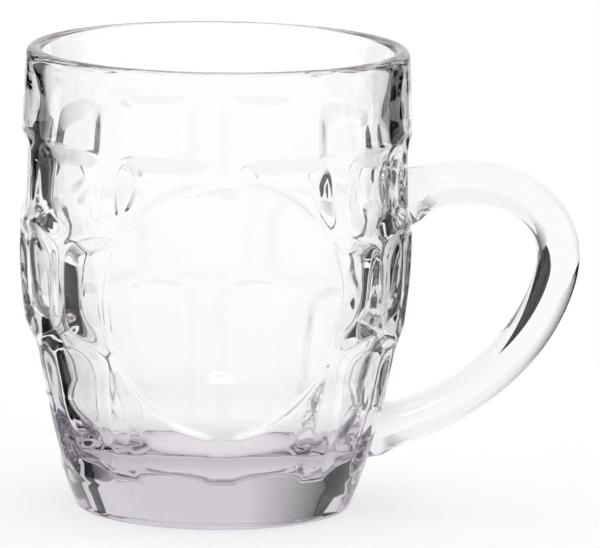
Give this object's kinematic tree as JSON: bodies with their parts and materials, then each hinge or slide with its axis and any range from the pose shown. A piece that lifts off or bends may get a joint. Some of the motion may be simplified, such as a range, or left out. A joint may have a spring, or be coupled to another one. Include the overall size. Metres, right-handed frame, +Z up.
{
  "type": "dimpled glass beer mug",
  "caption": "Clear pressed-glass beer mug with rows of dimples, a plain round front panel, a heavy base and a loop handle.",
  "frame": {"origin": "centre of the flat underside, on the axis of the bowl", "axes": "+Z up, +X towards the handle, the plain round panel faces -Y"},
  "size_m": [0.1453, 0.1015, 0.12],
  "materials": {
    "clear_glass": "polished"
  },
  "bodies": {
    "root": {"bowl": "clear_glass", "handle": "clear_glass"}
  },
  "joints": []
}
